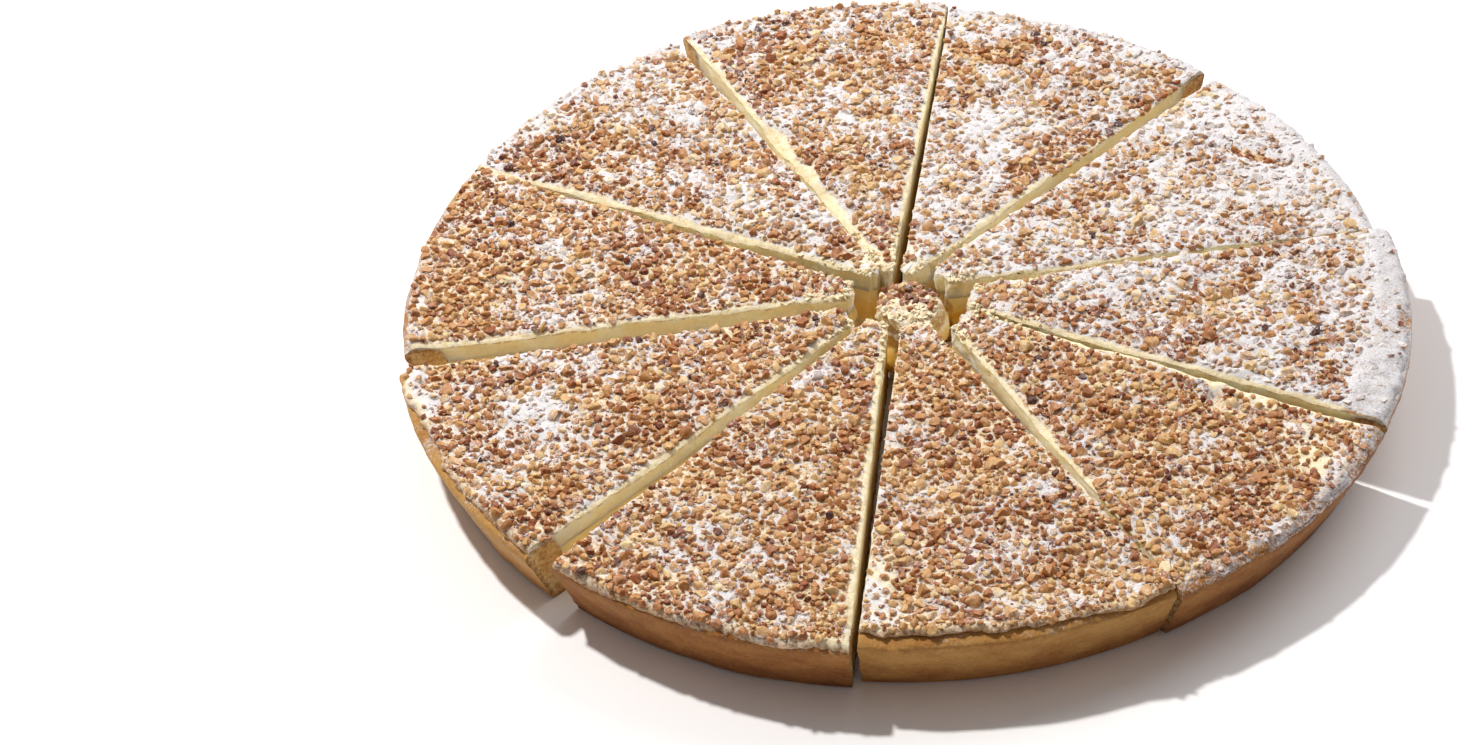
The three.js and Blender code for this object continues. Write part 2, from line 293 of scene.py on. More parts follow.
SHIFT = middle_shift()


def in_frame(piece, points):
    return unshifted(piece, points) + SHIFT


def cut_distance(x, y):
    """From a point inside a slice to the nearer of its two cut faces."""
    return (x - KNIFE_TIP) * HALF_SINE - np.abs(y) * HALF_COSINE


def from_apex(radius, angle):
    """Distance from the slice's apex, at an angle there, to a radius round the tart's middle."""
    inside = np.maximum(radius ** 2 - (KNIFE_TIP * np.sin(angle)) ** 2, 0)
    return np.maximum(np.sqrt(inside) - KNIFE_TIP * np.cos(angle), 0)


def on_slice(piece, radius, across, height, crumble, longer=0.0):
    """A point of the slice from its radius, its share of the way across (-1 to 1) and its height.

    crumble is how ragged the broken tip is, longer how much further it reaches than the solid's."""
    angle = HALF_ANGLE * across
    reach = from_apex(radius, angle)
    seat = np.stack([8 * across, height / 2, 0 * height], axis=-1)
    broken = piece.tip * np.interp(across, [-1, 0.37, 1], [1, 0.86, 1]) - longer
    broken = broken + crumble * (rough(seat, 3.0, 70 + piece.number, 4) + 0.2)
    kept = np.where(reach < TIP_ROOM, broken + reach * (TIP_ROOM - broken) / TIP_ROOM, reach)
    return np.stack([KNIFE_TIP + kept * np.cos(angle), kept * np.sin(angle), height], axis=-1)


def topping_edge(piece, y):
    """Radius of the topping's outer edge, which wanders along the rim."""
    y = np.asarray(y, float)
    place = plan(y, 0 * y)
    edge = piece.reach + piece.slant * y / (RADIUS * HALF_SINE)
    edge = edge + piece.wander * (rough(place, 12, 200 + piece.number, 4) - 0.2)
    for middle, width, extra in TONGUES.get(piece.number, ()):
        edge = edge + extra * np.exp(-((y - middle) / width) ** 2)
    return np.minimum(edge, RADIUS - 0.3)


def cream_edge(piece, y):
    """Radius where the cream ends. On a sugared rim a thin coat of it runs on nearly to the outer edge."""
    edge = topping_edge(piece, y)
    if piece.rim_dust < COATED_FROM:
        return edge
    place = plan(np.asarray(y, float), 0 * y)
    return np.maximum(edge, RADIUS - 1.5 + 0.5 * rough(place, 6, 250 + piece.number))


def bare_edge(piece, x, y):
    """Width of the strip along a cut that the nuts leave free; below zero where they reach over the cut."""
    along = plan(x, 40 * np.sign(y))
    uneven = np.clip(1 + 0.8 * rough(along, 9.0, 350 + piece.number), 0.2, 2.0)
    strip = 0 * np.asarray(x, float)
    for side, start, end, width in BARE_STRIPS[piece.number]:
        inside = smooth_step(start - 5, start + 5, x) * smooth_step(end + 5, end - 5, x)
        strip = strip + width * inside * (np.sign(y) == side)
    return strip * uneven


def from_middle_of(oval, x, y):
    """Distance from the middle of an oval, 1 on its line. It has x, y, length, width and heading."""
    middle_x, middle_y, length, width, heading = oval
    cosine, sine = math.cos(math.radians(heading)), math.sin(math.radians(heading))
    dx, dy = x - middle_x, y - middle_y
    along = (dx * cosine + dy * sine) / (length / 2)
    aside = (dy * cosine - dx * sine) / (width / 2)
    return np.sqrt(along ** 2 + aside ** 2)


def patch_share(patches, piece, x, y):
    """How far a place lies in one of the patches, 0 to 1, with ragged edges."""
    x, y = np.asarray(x, float), np.asarray(y, float)
    ragged = 0.35 * rough(plan(x, y), 5.0, 900 + piece.number)
    share = 0 * x
    for *oval, strength in patches.get(piece.number, ()):
        inside = smooth_step(1.35, 0.55, from_middle_of(oval, x, y) + ragged)
        share = np.maximum(share, strength * inside)
    return share


def scrape_depth(piece, x, y):
    """How far the knife scrape presses the cream down; below zero on the ridge it pushed up."""
    if piece.number != SCRAPED_SLICE:
        return 0 * x
    apart = from_middle_of(SCRAPE, x, y)
    hollow = SCRAPE_DEPTH * smooth_step(1.0, 0.2, apart)
    ridge = 0.5 * np.exp(-((apart - 1.25) / 0.22) ** 2)
    return hollow - ridge


def cream_level(piece, x, y):
    """Height of the spread cream between the nuts."""
    radius = np.hypot(x, y)
    edge = cream_edge(piece, y)
    share = 1 - np.minimum(1, radius / (edge - 1.2))
    level = LIP_TOP + (CREAM_TOP - LIP_TOP) * np.sin(share * math.pi / 2)
    level = level + TOP_RELIEF * (swell(x, y, piece.number + 3) + 0.4)
    level = level + RIM_RELIEF * swell(x, y, piece.number) * smooth_step(RIM_INSIDE - 4, RIM_INSIDE, radius)
    past_nuts = smooth_step(-1.0, 1.5, radius - topping_edge(piece, y))
    level = level - past_nuts * np.maximum(level - RIM_HEIGHT - 1.8, 0)
    spread = rough(plan(x, y), 5.0, 300 + piece.number)
    at_edge = smooth_step(9.0, 1.0, edge - radius)
    lifted = piece.lip + (COATED_LIFT if piece.rim_dust >= COATED_FROM else EDGE_LIFT)
    bare = patch_share(BARE_PATCHES, piece, x, y)
    level = level - NUT_ROOM + 0.30 * spread + at_edge * lifted + 0.5 * bare
    level = level + sugar_depth(piece, x, y)
    level = level + 0.45 * past_nuts * rough(plan(x, y), 2.4, 320 + piece.number, 2)
    return level - scrape_depth(piece, x, y)


# --- Powdered sugar ---------------------------------------

def dust_at(piece, x, y):
    """Share of powdered sugar at a place on a slice, 0 to 1."""
    place = plan(x, y)
    radius = np.hypot(x, y)
    cloud = 0.11 * lumps(place, 19, 400 + piece.number) + 0.15 * lumps(place, 7.5, 430 + piece.number)
    cloud = cloud + 0.24 * lumps(place, 3.2, 445 + piece.number)
    on_nuts = piece.dust + cloud + patch_share(DRIFTS, piece, x, y)
    on_rim = piece.rim_dust + 0.25 * lumps(place, 9, 460 + piece.number)
    edge = topping_edge(piece, y)
    towards_rim = smooth_step(edge - 5, edge + 1, radius)
    dust = on_nuts + (on_rim - on_nuts) * towards_rim - patch_share(TOASTED_PATCHES, piece, x, y)
    return np.clip(dust, 0, 1)


def sugar_depth(piece, x, y):
    return SUGAR_DEPTH * smooth_step(0.35, 1.0, dust_at(piece, x, y))


# --- Meshes -----------------------------------------------

def lattice_skin(us, vs, ws, plain_bottom=0, plain_top=0):
    """The skin of a box of lattice points, as its parameters, its faces and the side of each face.

    The first plain_bottom (or plain_top) steps along u of the underside (or top) are one flat face.
    Sides are 0 and 1 for the ends along u, 2 and 3 across v, 4 and 5 for bottom and top."""
    shape = (len(us), len(vs), len(ws))
    on_skin = np.zeros(shape, bool)
    for axis in range(3):
        on_skin[(slice(None),) * axis + ([0, -1],)] = True
    for end, plain in ((0, plain_bottom), (-1, plain_top)):
        on_skin[1:max(plain, 1), 1:-1, end] = False
    ids = np.full(shape, -1)
    ids[on_skin] = np.arange(on_skin.sum())
    grid = np.stack(np.meshgrid(us, vs, ws, indexing="ij"), axis=-1)[on_skin]
    faces, sides = [], []
    for axis, end in itertools.product(range(3), (0, -1)):
        sheet = np.take(ids, end, axis=axis)
        plain = (plain_bottom if end == 0 else plain_top) if axis == 2 else 0
        flip = (end == -1) == (axis == 1)
        side = 2 * axis - end
        if plain:
            loop = np.concatenate([
                sheet[:plain + 1, 0], sheet[plain, 1:], sheet[:plain, -1][::-1], sheet[0, 1:-1][::-1],
            ])
            faces.append([loop[::-1] if flip else loop])
            sides.append([side])
            sheet = sheet[plain:]
        quads = np.stack([sheet[:-1, :-1], sheet[1:, :-1], sheet[1:, 1:], sheet[:-1, 1:]], axis=-1)
        quads = quads.reshape(-1, 4)
        faces.append(list(quads[:, ::-1] if flip else quads))
        sides.append([side] * len(quads))
    return grid, list(itertools.chain(*faces)), np.array(list(itertools.chain(*sides)))


def mesh_object(name, points, faces, finishes, finish_of_face=None, facts=None, crease=None):
    """A mesh in metres from points in millimetres. facts are named values, one for each point."""
    points = np.asarray(points, float) * MM
    sizes = np.array([len(face) for face in faces])
    mesh = bpy.data.meshes.new(name)
    mesh.vertices.add(len(points))
    mesh.vertices.foreach_set("co", points.ravel())
    mesh.loops.add(int(sizes.sum()))
    mesh.loops.foreach_set("vertex_index", np.concatenate([np.asarray(face) for face in faces]))
    mesh.polygons.add(len(sizes))
    mesh.polygons.foreach_set("loop_start", np.concatenate([[0], np.cumsum(sizes)[:-1]]))
    mesh.update(calc_edges=True)
    for finish in finishes:
        mesh.materials.append(finish)
    if finish_of_face is not None:
        mesh.polygons.foreach_set("material_index", finish_of_face)
    mesh.polygons.foreach_set("use_smooth", np.ones(len(sizes), bool))
    if crease is not None:
        mesh.set_sharp_from_angle(angle=math.radians(crease))
    for fact, values in (facts or {}).items():
        layer = mesh.attributes.new(fact, "FLOAT", "POINT")
        layer.data.foreach_set("value", np.asarray(values, np.float32))
    piece = bpy.data.objects.new(name, mesh)
    bpy.context.scene.collection.objects.link(piece)
    return piece


# --- Shader values ----------------------------------------

def srgb(code):
    """A colour as seen on a screen, such as "c89a62", as the linear values that shaders take."""
    parts = [int(code[i:i + 2], 16) / 255 for i in (0, 2, 4)]
    linear = [part / 12.92 if part <= 0.04045 else ((part + 0.055) / 1.055) ** 2.4 for part in parts]
    return (*linear, 1.0)


def arithmetic(operation, reflected=False):
    """A method of Value that adds a Math node."""
    def method(value, other):
        numbers = (other, value) if reflected else (value, other)
        return value.finish.node("ShaderNodeMath", {"operation": operation}, dict(enumerate(numbers)))
    return method


class Value:
    """A number that varies over a surface. Arithmetic on it adds Math nodes."""

    def __init__(self, finish, socket):
        self.finish = finish
        self.socket = socket

    __add__, __radd__ = arithmetic("ADD"), arithmetic("ADD", reflected=True)
    __sub__, __rsub__ = arithmetic("SUBTRACT"), arithmetic("SUBTRACT", reflected=True)
    __mul__, __rmul__ = arithmetic("MULTIPLY"), arithmetic("MULTIPLY", reflected=True)
    __truediv__, __rtruediv__ = arithmetic("DIVIDE"), arithmetic("DIVIDE", reflected=True)

    def between(self, low, high):
        """0 below low, 1 above high and smooth between them; the other way round if low is higher."""
        settings = {"interpolation_type": "SMOOTHSTEP"}
        if low < high:
            return self.finish.node("ShaderNodeMapRange", settings, {0: self, 1: low, 2: high})
        return 1 - self.finish.node("ShaderNodeMapRange", settings, {0: self, 1: high, 2: low})


class Nodes:
    """The nodes of a material or of the room's light."""

    def __init__(self, tree, shader):
        self.tree = tree
        self.shader = tree.nodes[shader]

    def node(self, kind, settings=None, inputs=None, output=0):
        """Adds a node: its settings first, then the values or links of its sockets."""
        node = self.tree.nodes.new(kind)
        for key, value in (settings or {}).items():
            if key == "stops":
                self._set_stops(node.color_ramp, value)
            else:
                setattr(node, key, value)
        for key, value in (inputs or {}).items():
            self._feed(node.inputs[key], value)
        return Value(self, node.outputs[output])

    def _set_stops(self, ramp, stops):
        while len(ramp.elements) < len(stops):
            ramp.elements.new(0.5)
        for element, (place, colour) in zip(ramp.elements, stops):
            element.position = place
            element.color = colour

    def _feed(self, socket, value):
        if isinstance(value, Value):
            self.tree.links.new(value.socket, socket)
        else:
            socket.default_value = value

    def feed(self, socket, value):
        self._feed(self.shader.inputs[socket], value)

    def blend(self, first, second, share):
        """The second colour over the first by a share."""
        inputs = {"Factor": share, 6: first, 7: second}
        return self.node("ShaderNodeMix", {"data_type": "RGBA"}, inputs, output=2)

    def ramp(self, value, stops):
        return self.node("ShaderNodeValToRGB", {"stops": stops}, {"Fac": value}, output="Color")


class Finish(Nodes):
    """A material in the making, round one principled shader."""

    def __init__(self, name, **constants):
        self.material = bpy.data.materials.new(name)
        self.material.use_nodes = True
        super().__init__(self.material.node_tree, "Principled BSDF")
        for socket, value in constants.items():
            self.shader.inputs[socket.replace("_", " ")].default_value = value

    def place(self):
        return self.node("ShaderNodeTexCoord", output="Object")

    def noise(self, size, detail=3.0, roughness=0.55, stretch=None):
        """Smooth noise between 0 and 1 with lumps about size millimetres wide."""
        place = self.place()
        if stretch:
            place = self.node("ShaderNodeVectorMath", {"operation": "MULTIPLY"}, {0: place, 1: stretch})
        inputs = {"Vector": place, "Scale": 1 / (size * MM), "Detail": detail, "Roughness": roughness}
        return self.node("ShaderNodeTexNoise", None, inputs)

    def fact(self, name):
        """A value that the mesh carries for each point."""
        return self.node("ShaderNodeAttribute", {"attribute_name": name}, output="Fac")

    def upwards(self):
        """The part of the surface's true direction that points up."""
        normal = self.node("ShaderNodeNewGeometry", output="Normal")
        return self.node("ShaderNodeSeparateXYZ", None, {0: normal}, output="Z")

    def height(self):
        return self.node("ShaderNodeSeparateXYZ", None, {0: self.place()}, output="Z")

    def bump(self, height, depth):
        """Relief of that depth in millimetres from a value between 0 and 1."""
        inputs = {"Height": height, "Distance": depth * MM, "Strength": 1.0}
        self.feed("Normal", self.node("ShaderNodeBump", None, inputs))


# --- Finishes ---------------------------------------------

SUGAR = (srgb("cfc6c1"), srgb("e2e2e7"))        # where it is thin and where it is thick
RIM_SUGAR = (srgb("bbb2af"), srgb("d8d9de"))


def powdered(finish, colour, cover, speckle=0.55, sugar=SUGAR):
    """Powdered sugar over a colour: fine grains, duller where it is thin."""
    grains = finish.noise(speckle, 3, 0.75)
    return finish.blend(colour, finish.blend(*sugar, grains.between(0.35, 0.6)), cover)


def baked_crust():
    """The outside of the pastry: golden, browner in blotches and low on the wall, with dusted sugar."""
    finish = Finish("baked_crust", Roughness=0.7, Specular_IOR_Level=0.25)
    blotch = finish.noise(11, 4, 0.6, (1, 1, 1.8))
    grain = finish.noise(1.0, 4, 0.65)
    low = (finish.height() / MM).between(12.0, 0.5)
    browning = blotch * 0.70 + low * 0.20 + (grain - 0.5) * 0.5 + finish.fact("bake")
    colour = finish.ramp(browning, [
        (0.18, srgb("bd8f50")), (0.40, srgb("a6713a")), (0.60, srgb("8c5629")), (0.85, srgb("683b1a")),
    ])
    powder = finish.noise(0.8, 4, 0.75)
    drift = finish.noise(3.4, 3, 0.6)
    cover = (finish.fact("dust") * 1.10 + (powder - 0.5) * 2.4 + (drift - 0.5) * 0.9).between(0.32, 0.84)
    level = finish.upwards().between(0.15, 0.75)
    finish.feed("Base Color", powdered(finish, colour, cover * level * 0.93, 0.55, RIM_SUGAR))
    finish.feed("Roughness", 0.62 + 0.3 * level)
    finish.bump(blotch * 0.3 + grain * 0.6 + powder * 0.5, 0.55)
    return finish.material


def crust_crumb():
    """The cut pastry: pale, dry and porous, with a brown skin on its outside."""
    finish = Finish("crust_crumb", Roughness=0.9, Specular_IOR_Level=0.2)
    pores = finish.noise(1.1, 4, 0.7)
    patches = finish.noise(5, 2, 0.5)
    skin = finish.fact("depth")
    crumb = finish.ramp(pores * 0.65 + patches * 0.35, [
        (0.34, srgb("a0733f")), (0.45, srgb("c99c60")), (0.58, srgb("e2c490")),
    ])
    brown = finish.blend(crumb, srgb("855830"), (skin + (pores - 0.5) * 5).between(2.2, 0.1) * 0.7)
    finish.feed("Base Color", brown)
    finish.bump(pores, 0.8)
    return finish.material


def set_custard():
    """Smooth yellow custard, with faint marks of the knife."""
    finish = Finish(
        "set_custard", Roughness=0.38, Specular_IOR_Level=0.45,
        Subsurface_Weight=0.5, Subsurface_Scale=0.005, Subsurface_Radius=(1.0, 0.7, 0.3),
    )
    marks = finish.noise(3.0, 3, 0.5, (0.35, 0.35, 1))
    colour = finish.blend(srgb("efc258"), srgb("f5d178"), marks.between(0.3, 0.7))
    below_cream = (finish.height() / MM + (marks - 0.5) * 3).between(9.0, 13.2)
    colour = finish.blend(colour, srgb("f9e3b0"), below_cream * 0.8)
    finish.feed("Base Color", colour)
    finish.bump(marks, 0.25)
    return finish.material


def cream_face():
    """Cream where the knife went through: pale yellow, smeared, and paler near the top, partly as painted
    light.
    """
    finish = Finish(
        "cream_face", Roughness=0.5, Specular_IOR_Level=0.35,
        Subsurface_Weight=0.8, Subsurface_Scale=0.008, Subsurface_Radius=(1.0, 0.85, 0.55),
    )
    smear = finish.noise(5.0, 4, 0.6, (0.5, 0.5, 1.2))
    # Paler near the top: whitish smears, and also painted light where light falls into the top of the gaps
    # between slices.
    top = (finish.height() / MM + (smear - 0.5) * 8).between(19.5, 22.5)
    colour = finish.blend(srgb("f6e3bb"), srgb("fbefd6"), smear.between(0.42, 0.68))
    colour = finish.blend(colour, srgb("f8f0dc"), top * 0.7)
    near_top = finish.fact("under").between(1.1, 0.1)
    cut_nuts = (finish.noise(1.5, 3, 0.6) + near_top * 0.12).between(0.56, 0.64) * near_top
    finish.feed("Base Color", finish.blend(colour, srgb("a5713c"), cut_nuts * 0.6))
    finish.bump(finish.noise(1.8, 4, 0.6, (0.6, 0.6, 1)), 0.6)
    return finish.material


def spread_cream():
    """Between the nuts: brown crumbs stuck in the cream, bare cream in places, and powdered sugar."""
    finish = Finish(
        "spread_cream", Roughness=0.6, Specular_IOR_Level=0.3,
        Subsurface_Weight=0.1, Subsurface_Scale=0.002, Subsurface_Radius=(1.0, 0.8, 0.6),
    )
    crumbs = finish.noise(1.3, 4, 0.7)
    brown = finish.ramp(crumbs, [
        (0.32, srgb("784725")), (0.41, srgb("b08354")), (0.48, srgb("d8bf9a")), (0.62, srgb("eee2cd")),
    ])
    cream = finish.ramp(crumbs, [
        (0.34, srgb("dcc595")), (0.44, srgb("eddcb0")), (0.60, srgb("f4e9cc")),
    ])
    spread = finish.blend(brown, cream, finish.fact("bare").between(0.15, 0.55))
    past_nuts = finish.fact("past_nuts")
    baked = finish.ramp(crumbs, [(0.36, srgb("8a5a30")), (0.60, srgb("b98a55"))])
    spread = finish.blend(spread, baked, past_nuts)
    powder = finish.noise(0.75, 4, 0.75)
    cover = (finish.fact("dust") * 1.25 + (powder - 0.5) * 1.9).between(0.30, 0.70)
    dusted = powdered(finish, spread, cover * 0.96)
    drift = finish.noise(3.4, 3, 0.6)
    thin = (finish.fact("dust") * 1.1 + (powder - 0.5) * 2.6 + (drift - 0.5) * 1.5).between(0.22, 0.84)
    on_rim = powdered(finish, spread, thin * 0.96, 0.55, RIM_SUGAR)
    finish.feed("Base Color", finish.blend(dusted, on_rim, past_nuts))
    finish.bump(powder * 0.6 + crumbs * 0.4, 0.6)
    return finish.material


def roasted_nut():
    """Chopped roasted nuts, each of its own tone, with sugar at their feet and a little on what faces up."""
    finish = Finish(
        "roasted_nut", Roughness=0.42, Specular_IOR_Level=0.5,
        Subsurface_Weight=0.15, Subsurface_Scale=0.0015, Subsurface_Radius=(1.0, 0.5, 0.25),
    )
    tone = finish.fact("tone")
    mottle = finish.noise(0.9, 4, 0.65)
    colour = finish.ramp(tone + (mottle - 0.5) * 0.85, [
        (0.00, srgb("381c13")), (0.10, srgb("622b15")), (0.24, srgb("8d4a22")), (0.42, srgb("aa6c39")),
        (0.58, srgb("bd8850")), (0.74, srgb("cea66c")), (0.88, srgb("dcbf8b")), (1.00, srgb("e8d4ae")),
    ])
    powder = finish.noise(0.55, 4, 0.75)
    foot = finish.fact("rise").between(0.95, 0.05)
    level = finish.upwards().between(-0.1, 0.7)
    share = finish.fact("dust") * (0.80 + foot * 0.7)
    cover = (share + (powder - 0.5) * 2.3).between(0.44, 0.80) * level
    finish.feed("Base Color", powdered(finish, colour, cover * 0.94, 0.5))
    finish.feed("Roughness", 0.38 + 0.45 * cover)
    finish.bump(mottle * 0.6 + powder * 0.4, 0.35)
    return finish.material


def grainy(name, dark, light, grain_size, relief, light_from=0.7, **constants):
    """A plain finish whose colour changes from grain to grain."""
    finish = Finish(name, **constants)
    grain = finish.noise(grain_size, 3, 0.6)
    finish.feed("Base Color", finish.blend(srgb(dark), srgb(light), grain.between(0.3, light_from)))
    finish.bump(grain, relief)
    return finish.material


CRUST_FINISHES = [baked_crust(), crust_crumb()]
CUSTARD_FINISHES = [set_custard()]
CREAM_FINISHES = [spread_cream(), cream_face()]
NUT_FINISH = roasted_nut()
SKIN_FINISH = grainy("nut_skin", "4a241b", "84472f", 0.9, 0.2, Roughness=0.5, Specular_IOR_Level=0.4)
SUGAR_FINISH = grainy("sugar_powder", "d6cfce", "efecee", 0.6, 0.2, Roughness=0.85, Specular_IOR_Level=0.2)
CREAM_CRUMB_FINISH = grainy(
    "cream_crumb", "e2c795", "f4e6ca", 1.0, 0.3, 0.65, Roughness=0.6, Specular_IOR_Level=0.3,
    Subsurface_Weight=0.2, Subsurface_Scale=0.002,
)

# --- The layers of a slice --------------------------------

# The pastry's section, as (share of the way from the tip to the top of the rim, radius, height).
CRUST_OUTSIDE = [
    (0.00, 0, 0),
    (0.70, FOOT_RADIUS - 2, 0),
    (0.72, FOOT_RADIUS - 0.6, 0.5),
    (0.75, FOOT_RADIUS, 1.6),
    (0.86, FOOT_RADIUS + 0.42 * (RADIUS - FOOT_RADIUS), 0.45 * RIM_HEIGHT),
    (0.95, RADIUS - 0.5, RIM_HEIGHT - 2.6),
    (0.98, RADIUS - 0.6, RIM_HEIGHT - 1.2),
    (1.00, RADIUS - 1.8, RIM_HEIGHT - 0.5),
]
CRUST_INSIDE = [
    (0.00, 0, BASE_THICKNESS),
    (0.70, WALL_INSIDE - 2, BASE_THICKNESS),
    (0.76, WALL_INSIDE, BASE_THICKNESS + 2),
    (0.98, RIM_INSIDE, RIM_HEIGHT - 1.8),
    (1.00, RIM_INSIDE + 1.4, RIM_HEIGHT - 0.7),
]
BASE_SHARE = 0.70
BASE_STEPS = 70
WALL_STEPS = 26
THICKNESS_STEPS = 10
ACROSS_STEPS = 72


def along_outline(outline, share):
    shares, radii, heights = zip(*outline)
    return np.interp(share, shares, radii), np.interp(share, shares, heights)


def roughen_cuts(points, share, depth, size, seed):
    """Presses the cut faces in and out a little, along their own direction and mostly inwards."""
    x, y = points[..., 0], points[..., 1]
    towards = np.sign(y)
    amount = share * depth * (rough(points, size, seed) - 0.35)
    points[..., 0] = x - amount * HALF_SINE
    points[..., 1] = y + towards * amount * HALF_COSINE
    return points


def crust_of(piece):
    us = np.concatenate([
        np.linspace(0, BASE_SHARE, BASE_STEPS + 1)[:-1], np.linspace(BASE_SHARE, 1, WALL_STEPS + 1),
    ])
    vs = np.linspace(-1, 1, ACROSS_STEPS + 1)
    ws = np.linspace(0, 1, THICKNESS_STEPS + 1)
    grid, faces, sides = lattice_skin(us, vs, ws, plain_bottom=BASE_STEPS, plain_top=BASE_STEPS)
    along, across, through = grid.T
    outer_radius, outer_height = along_outline(CRUST_OUTSIDE, along)
    inner_radius, inner_height = along_outline(CRUST_INSIDE, along)
    radius = outer_radius + (inner_radius - outer_radius) * through
    height = outer_height + (inner_height - outer_height) * through
    crown = smooth_step(0.9, 1.0, along) * 4 * through * (1 - through)
    height = height + RIM_CROWN * crown

    points = on_slice(piece, radius, across, height, CRUST_CRUMBLE, CRUST_LONGER)
    x, y = points[:, 0], points[:, 1]
    on_wall = (radius > FOOT_RADIUS - 1) & (height > 1)
    outside = on_wall * (1 - through)
    bulge = WALL_RELIEF * swell(y, x, piece.number) + WALL_LUMPS * rough(points, 6, 500 + piece.number)
    bulge = bulge + WALL_GRAIN * rough(points, 1.8, 520 + piece.number, 2)
    on_rim = smooth_step(RIM_HEIGHT - 1.5, RIM_HEIGHT - 0.5, height)
    scale = 1 + outside * bulge / np.maximum(radius, 1)
    points[:, 0] = x * scale
    points[:, 1] = y * scale
    lift = RIM_RELIEF * swell(x, y, piece.number) + RIM_LUMPS * rough(points[:, :2], 4, 540 + piece.number)
    points[:, 2] = points[:, 2] + on_rim * lift
    at_cut = (np.abs(across) > 0.999).astype(float)
    points = roughen_cuts(points, at_cut, depth=0.35, size=1.6, seed=560 + piece.number)
    points[:, 2] = np.maximum(points[:, 2], 0)

    from_outside = through * np.hypot(inner_radius - outer_radius, inner_height - outer_height)
    from_top = RIM_HEIGHT - height
    facts = {
        "dust": dust_at(piece, x, y) * smooth_step(RIM_HEIGHT - 5, RIM_HEIGHT - 1, height),
        "depth": np.minimum(from_outside, np.maximum(from_top, 0) + 0.3),
        "bake": np.full(len(points), piece.bake),
    }
    cut = np.isin(sides, (0, 2, 3)).astype(int)
    name = f"pastry_{piece.number:02d}"
    return mesh_object(name, in_frame(piece, points), faces, CRUST_FINISHES, cut, facts, crease=50)


CUSTARD_ALONG = 79        # steps of its mesh
CUSTARD_ACROSS = 40
CUSTARD_UP = 12


def custard_of(piece):
    us = np.linspace(0, 1, CUSTARD_ALONG + 1)
    vs = np.linspace(-1, 1, CUSTARD_ACROSS + 1)
    ws = np.linspace(0, 1, CUSTARD_UP + 1)
    grid, faces, _ = lattice_skin(us, vs, ws, plain_bottom=CUSTARD_ALONG, plain_top=CUSTARD_ALONG)
    along, across, up = grid.T
    bottom, top = CUSTARD_BOTTOM - LAYER_GAP - SEAM, CUSTARD_TOP + LAYER_GAP / 2
    height = bottom + (top - bottom) * up
    _, inside_radii, inside_heights = zip(*CRUST_INSIDE[1:4])
    wall = np.interp(height, inside_heights, inside_radii) + FILLING_OVERLAP
    points = on_slice(piece, along * wall, across, height, CUSTARD_CRUMBLE)
    at_cut = (np.abs(across) > 0.999).astype(float)
    points = roughen_cuts(points, at_cut, depth=0.22, size=5.0, seed=600 + piece.number)
    name = f"custard_{piece.number:02d}"
    return mesh_object(name, in_frame(piece, points), faces, CUSTARD_FINISHES, crease=50)


EDGE_THINNING = 1.4       # how much the cream thins out at its outer edge
THICK_EDGE = 0.8          # and how much less where its lip is thick
CREAM_ALONG = 125
CREAM_RAMP = 0.93         # share of the way out where the cream starts to climb over the rim
CREAM_ACROSS = 84
CREAM_UP = 7


